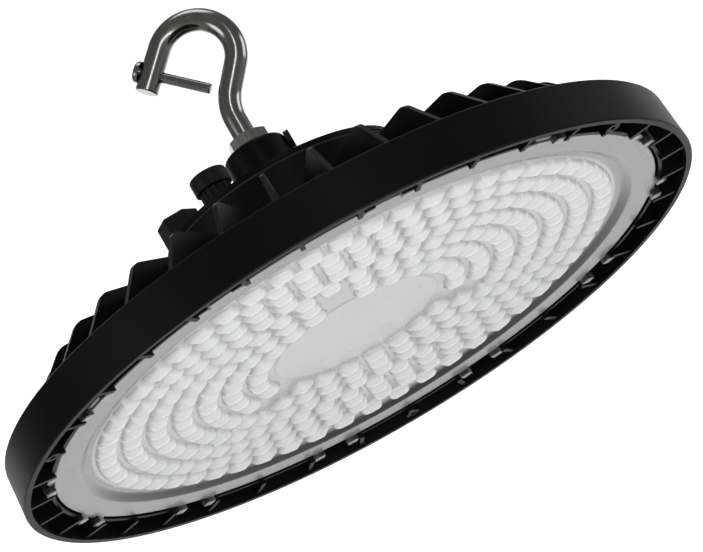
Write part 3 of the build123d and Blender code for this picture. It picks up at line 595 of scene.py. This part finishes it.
def lenslet_shape(width, length, height):
    """Four-sided pillow that stands down from the field: a steep foot and a flatter crown."""
    shape = bmesh.new()
    bmesh.ops.create_grid(shape, x_segments=1, y_segments=1, size=0.5)
    bmesh.ops.scale(shape, vec=(width, length, 1.0), verts=shape.verts)
    bmesh.ops.bevel(shape, geom=shape.verts[:], offset=LENSLET_CORNER * length, affect="VERTICES",
                    segments=1, profile=0.5, material=-1)
    bmesh.ops.translate(shape, vec=(0, 0, LENSLET_BITE), verts=shape.verts)
    top = shape.faces[:]
    inset_before = 0.0
    for inset, share in LENSLET_LEVELS:
        grown = bmesh.ops.extrude_face_region(shape, geom=top)["geom"]
        ring = [item for item in grown if isinstance(item, bmesh.types.BMVert)]
        top = [item for item in grown if isinstance(item, bmesh.types.BMFace)]
        for vert in ring:
            vert.co.z = -share * height
        shrink = [(size - 2 * inset * MM) / (size - 2 * inset_before * MM) for size in (width, length)]
        bmesh.ops.scale(shape, vec=(*shrink, 1.0), verts=ring)
        inset_before = inset
    bmesh.ops.recalc_face_normals(shape, faces=shape.faces)
    return shape


def add_turned_copy(target, mesh, radius, azimuth, level):
    """Adds a mesh to a bmesh at a radius and azimuth, its -Y side outwards."""
    place = Matrix.Rotation(math.radians(azimuth), 4, "Z") @ Matrix.Translation((0, -radius, level))
    copy = mesh.copy()
    copy.transform(place)
    target.from_mesh(copy)
    bpy.data.meshes.remove(copy)


def block_shape(low, high, edge):
    """Block between two corners with rounded edges."""
    shape = bmesh.new()
    bmesh.ops.create_cube(shape, size=1.0)
    size = [b - a for a, b in zip(low, high)]
    middle = [(a + b) / 2 for a, b in zip(low, high)]
    bmesh.ops.scale(shape, vec=size, verts=shape.verts)
    bmesh.ops.translate(shape, vec=middle, verts=shape.verts)
    bmesh.ops.bevel(shape, geom=shape.edges[:], offset=edge, affect="EDGES", segments=BEVEL_STEPS,
                    profile=0.5, material=-1)
    return shape


def tab_blocks(sizes):
    """Low and high corners of one clip tab's blocks, at the near side of the rim."""
    face = face_level(sizes)
    rim_top = face + sizes.rim_thickness
    rim, half = sizes.rim_radius, TAB_HALF_WIDTH
    inner = rim - TAB_BITE
    ear_outer = rim + EAR_REACH
    arm_inner = -ear_outer + ARM_THICKNESS
    low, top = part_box("lens_plate")[0].z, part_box("lens_plate")[1].z
    blocks = [((-half, -rim - BRIDGE_REACH, face + BRIDGE_STEP), (half, -inner, rim_top))]
    for low_x, high_x in ((-half, -half + EAR_WIDTH), (half - EAR_WIDTH, half)):
        blocks.append(((low_x, -ear_outer, face), (high_x, -inner, rim_top)))
        blocks.append(((low_x, -ear_outer, low), (high_x, -rim, rim_top)))
        blocks.append(((low_x, -ear_outer, low), (high_x, arm_inner, top)))
        blocks.append(((low_x, -ear_outer, top - BARB_HEIGHT), (high_x, arm_inner + BARB_REACH, top)))
    return blocks


class HIGHBAY_OT_lens(bpy.types.Operator):
    """Moulds the lens plate with its rings of lenslets and its clip tabs"""
    bl_idname = "highbay.lens"
    bl_label = "Lens plate"

    def execute(self, context):
        sizes = context.scene.high_bay_lens
        face = face_level(sizes)
        rim_top = face + sizes.rim_thickness
        field = field_level(sizes)
        field_top = field + sizes.thickness
        disc_face = field - sizes.disc_step
        field_radius = sizes.rim_radius - sizes.rim_width - sizes.ramp_width
        ramp_end = field_radius + sizes.ramp_width
        plate = turned_shape(held([
            (0.0, disc_face), (sizes.disc_radius - 2 * sizes.disc_step, disc_face),
            (sizes.disc_radius, field), (field_radius, field), (ramp_end, face),
            (sizes.rim_radius - sizes.edge, face), (sizes.rim_radius, face + sizes.edge),
            (sizes.rim_radius, rim_top), (ramp_end, rim_top),
            (field_radius, field_top), (0.0, field_top),
        ]))
        kinds = {}
        for radius, azimuth, share in ring_places(sizes):
            if radius not in kinds:
                pillow = lenslet_shape(share * sizes.lenslet_fill, sizes.lenslet_length, sizes.lenslet_height)
                kinds[radius] = mesh_of("lenslet", pillow)
            add_turned_copy(plate, kinds[radius], radius, azimuth, field)
        for low, high in tab_blocks(sizes):
            mesh = mesh_of("tab block", block_shape(low, high, TAB_EDGE))
            for index in range(sizes.tab_count):
                add_turned_copy(plate, mesh, 0.0, 360.0 / sizes.tab_count * (index + 0.5), 0.0)
            bpy.data.meshes.remove(mesh)
        for mesh in kinds.values():
            bpy.data.meshes.remove(mesh)
        smooth_but_for(plate, LENS_CREASE_ANGLE)
        add_piece("lens_moulding", plate, "lens_plastic", "lens_plate")
        return {"FINISHED"}


class HIGHBAY_OT_casting(bpy.types.Operator):
    """Coats the finned casting, the drum's cover and their gasket and screws"""
    bl_idname = "highbay.casting"
    bl_label = "Casting and cover"

    def execute(self, context):
        edge = context.scene.high_bay_metal.edge
        rounded_solid("housing", "finned_casting", edge)
        rounded_solid("top_cover", "drum_cover", edge)
        colour_nodes("cover_gasket", "cover_screws")
        return {"FINISHED"}


class HIGHBAY_OT_hook(bpy.types.Operator):
    """Finishes the hook, its nut, the lock screw and the screw across its mouth"""
    bl_idname = "highbay.hook"
    bl_label = "Hook"

    def execute(self, context):
        for node, name, edge in HOOK_PIECES:
            rounded_solid(node, name, edge)
        return {"FINISHED"}


class HIGHBAY_OT_fittings(bpy.types.Operator):
    """Finishes the cord fitting and the vent on the cover"""
    bl_idname = "highbay.fittings"
    bl_label = "Fittings"

    def execute(self, context):
        for node, name in FITTING_PIECES:
            rounded_solid(node, name, FITTING_EDGE)
        colour_nodes("gland_seal", "vent_membrane", "fitting_seals", "locknuts")
        return {"FINISHED"}


class HIGHBAY_OT_lamp_board(bpy.types.Operator):
    """Colours the lamp board with its packages, screws, pad and gasket"""
    bl_idname = "highbay.lamp_board"
    bl_label = "Lamp board"

    def execute(self, context):
        colour_nodes("lens_gasket", "led_board", "led_packages", "board_screws", "thermal_pad",
                     "lead_grommet", "led_leads")
        return {"FINISHED"}


class HIGHBAY_OT_driver(bpy.types.Operator):
    """Colours the driver inside the drum"""
    bl_idname = "highbay.driver"
    bl_label = "Driver"

    def execute(self, context):
        colour_nodes("driver_tray", "driver_board", "driver_screws", "transformer", "capacitors",
                     "output_choke", "terminal_block")
        return {"FINISHED"}


def add_camera(settings):
    """Camera on a long lens, turned and tilted as the settings say."""
    lens = bpy.data.cameras.new("camera")
    lens.lens = settings.focal_length
    lens.sensor_width = SENSOR_WIDTH
    camera = bpy.data.objects.new("camera", lens)
    bpy.context.scene.collection.objects.link(camera)
    bpy.context.scene.camera = camera
    flat = math.cos(settings.elevation)
    back = Vector((math.sin(settings.azimuth) * flat, -math.cos(settings.azimuth) * flat,
                   math.sin(settings.elevation)))
    camera.location = Vector(settings.aim) + back * settings.distance
    turn = (-back).to_track_quat("-Z", "Y").to_matrix() @ Matrix.Rotation(settings.roll, 3, "Z")
    camera.rotation_euler = turn.to_euler()


def add_lamp(name, place, width, height, power):
    """Soft lamp that faces the light's middle."""
    data = bpy.data.lights.new(name, "AREA")
    data.shape = "RECTANGLE"
    data.size = width
    data.size_y = height
    data.energy = power
    lamp = bpy.data.objects.new(name, data)
    bpy.context.scene.collection.objects.link(lamp)
    lamp.location = place
    lamp.rotation_euler = (Vector(LAMP_TARGET) - Vector(place)).to_track_quat("-Z", "Y").to_euler()


def add_sheet(name, half, place, material):
    """Flat square of the stage."""
    shape = bmesh.new()
    bmesh.ops.create_grid(shape, x_segments=1, y_segments=1, size=half)
    bmesh.ops.transform(shape, matrix=place, verts=shape.verts)
    mesh = mesh_of(name, shape)
    mesh.materials.append(material)
    sheet = bpy.data.objects.new(name, mesh)
    bpy.context.scene.collection.objects.link(sheet)


def pale_paint(name):
    """Pale floor paint, lifted towards white for the camera only; shadows stay on it."""
    paint = new_material(name)
    tree = paint.node_tree
    shader = tree.nodes["Principled BSDF"]
    shader.inputs["Base Color"].default_value = FLOOR_PAINT
    shader.inputs["Emission Color"].default_value = WHITE
    path = tree.nodes.new("ShaderNodeLightPath")
    strength = tree.nodes.new("ShaderNodeMath")
    strength.operation = "MULTIPLY"
    strength.inputs[1].default_value = FLOOR_LIFT
    tree.links.new(path.outputs["Is Camera Ray"], strength.inputs[0])
    tree.links.new(strength.outputs[0], shader.inputs["Emission Strength"])
    return paint


def lit_paper(name):
    """Glowing paper that can't be seen from behind."""
    paper = new_material(name)
    tree = paper.node_tree
    shader = tree.nodes["Principled BSDF"]
    shader.inputs["Emission Color"].default_value = WHITE
    shader.inputs["Emission Strength"].default_value = 1.0
    side = tree.nodes.new("ShaderNodeNewGeometry")
    clear = tree.nodes.new("ShaderNodeBsdfTransparent")
    mix = tree.nodes.new("ShaderNodeMixShader")
    tree.links.new(side.outputs["Backfacing"], mix.inputs[0])
    tree.links.new(shader.outputs[0], mix.inputs[1])
    tree.links.new(clear.outputs[0], mix.inputs[2])
    tree.links.new(mix.outputs[0], tree.nodes["Material Output"].inputs["Surface"])
    return paper


def white_to_the_eye(tree, shader, output):
    """Shows plain white to the camera and the shader to all other rays."""
    path = tree.nodes.new("ShaderNodeLightPath")
    white = tree.nodes.new("ShaderNodeBackground")
    white.inputs["Color"].default_value = WHITE
    mix = tree.nodes.new("ShaderNodeMixShader")
    tree.links.new(path.outputs["Is Camera Ray"], mix.inputs[0])
    tree.links.new(shader.outputs[0], mix.inputs[1])
    tree.links.new(white.outputs[0], mix.inputs[2])
    tree.links.new(mix.outputs[0], output.inputs["Surface"])


class HIGHBAY_OT_stage(bpy.types.Operator):
    """Sets up the camera, the soft lamps, the pale floor and the white surroundings"""
    bl_idname = "highbay.stage"
    bl_label = "Stage"

    def execute(self, context):
        settings = context.scene.high_bay_stage
        context.scene.view_settings.view_transform = "Standard"
        add_camera(settings)
        for lamp in LAMPS:
            add_lamp(*lamp)
        floor_place = Matrix.Translation((0, 0, settings.floor_level))
        add_sheet("floor", FLOOR_HALF, floor_place, pale_paint("pale floor"))
        backdrop_place = Matrix.Translation((0, settings.backdrop_distance, BACKDROP_HEIGHT)) @ UPRIGHT
        add_sheet("backdrop", BACKDROP_HALF, backdrop_place, lit_paper("lit paper"))
        world = bpy.data.worlds.new("surroundings")
        context.scene.world = world
        world.use_nodes = True
        tree = world.node_tree
        even = tree.nodes["Background"]
        even.inputs["Color"].default_value = WHITE
        even.inputs["Strength"].default_value = settings.world_strength
        white_to_the_eye(tree, even, tree.nodes["World Output"])
        return {"FINISHED"}


OPERATORS = (HIGHBAY_OT_stage, HIGHBAY_OT_casting, HIGHBAY_OT_lens, HIGHBAY_OT_hook, HIGHBAY_OT_fittings,
             HIGHBAY_OT_lamp_board, HIGHBAY_OT_driver)


class HIGHBAY_PT_panel(bpy.types.Panel):
    """Lists the steps that dress the light"""
    bl_idname = "HIGHBAY_PT_panel"
    bl_label = "High bay light"
    bl_space_type = "VIEW_3D"
    bl_region_type = "UI"
    bl_category = "High bay"

    def draw(self, context):
        for operator in OPERATORS:
            self.layout.operator(operator.bl_idname)


SETTINGS = {"high_bay_lens": LensSizes, "high_bay_metal": MetalSettings, "high_bay_stage": StageSettings}


def register():
    """Adds the settings, the operators and the panel."""
    for group in SETTINGS.values():
        bpy.utils.register_class(group)
    for name, group in SETTINGS.items():
        setattr(bpy.types.Scene, name, PointerProperty(type=group))
    for made in (*OPERATORS, HIGHBAY_PT_panel):
        bpy.utils.register_class(made)


def unregister():
    """Takes them out again, in the other order."""
    for made in (HIGHBAY_PT_panel, *OPERATORS):
        bpy.utils.unregister_class(made)
    for name, group in SETTINGS.items():
        delattr(bpy.types.Scene, name)
        bpy.utils.unregister_class(group)


def main():
    """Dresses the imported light."""
    register()
    bpy.ops.highbay.stage()
    bpy.ops.highbay.casting()
    bpy.ops.highbay.lens()
    bpy.ops.highbay.hook()
    bpy.ops.highbay.fittings()
    bpy.ops.highbay.lamp_board()
    bpy.ops.highbay.driver()


if __name__ == "__main__":
    main()
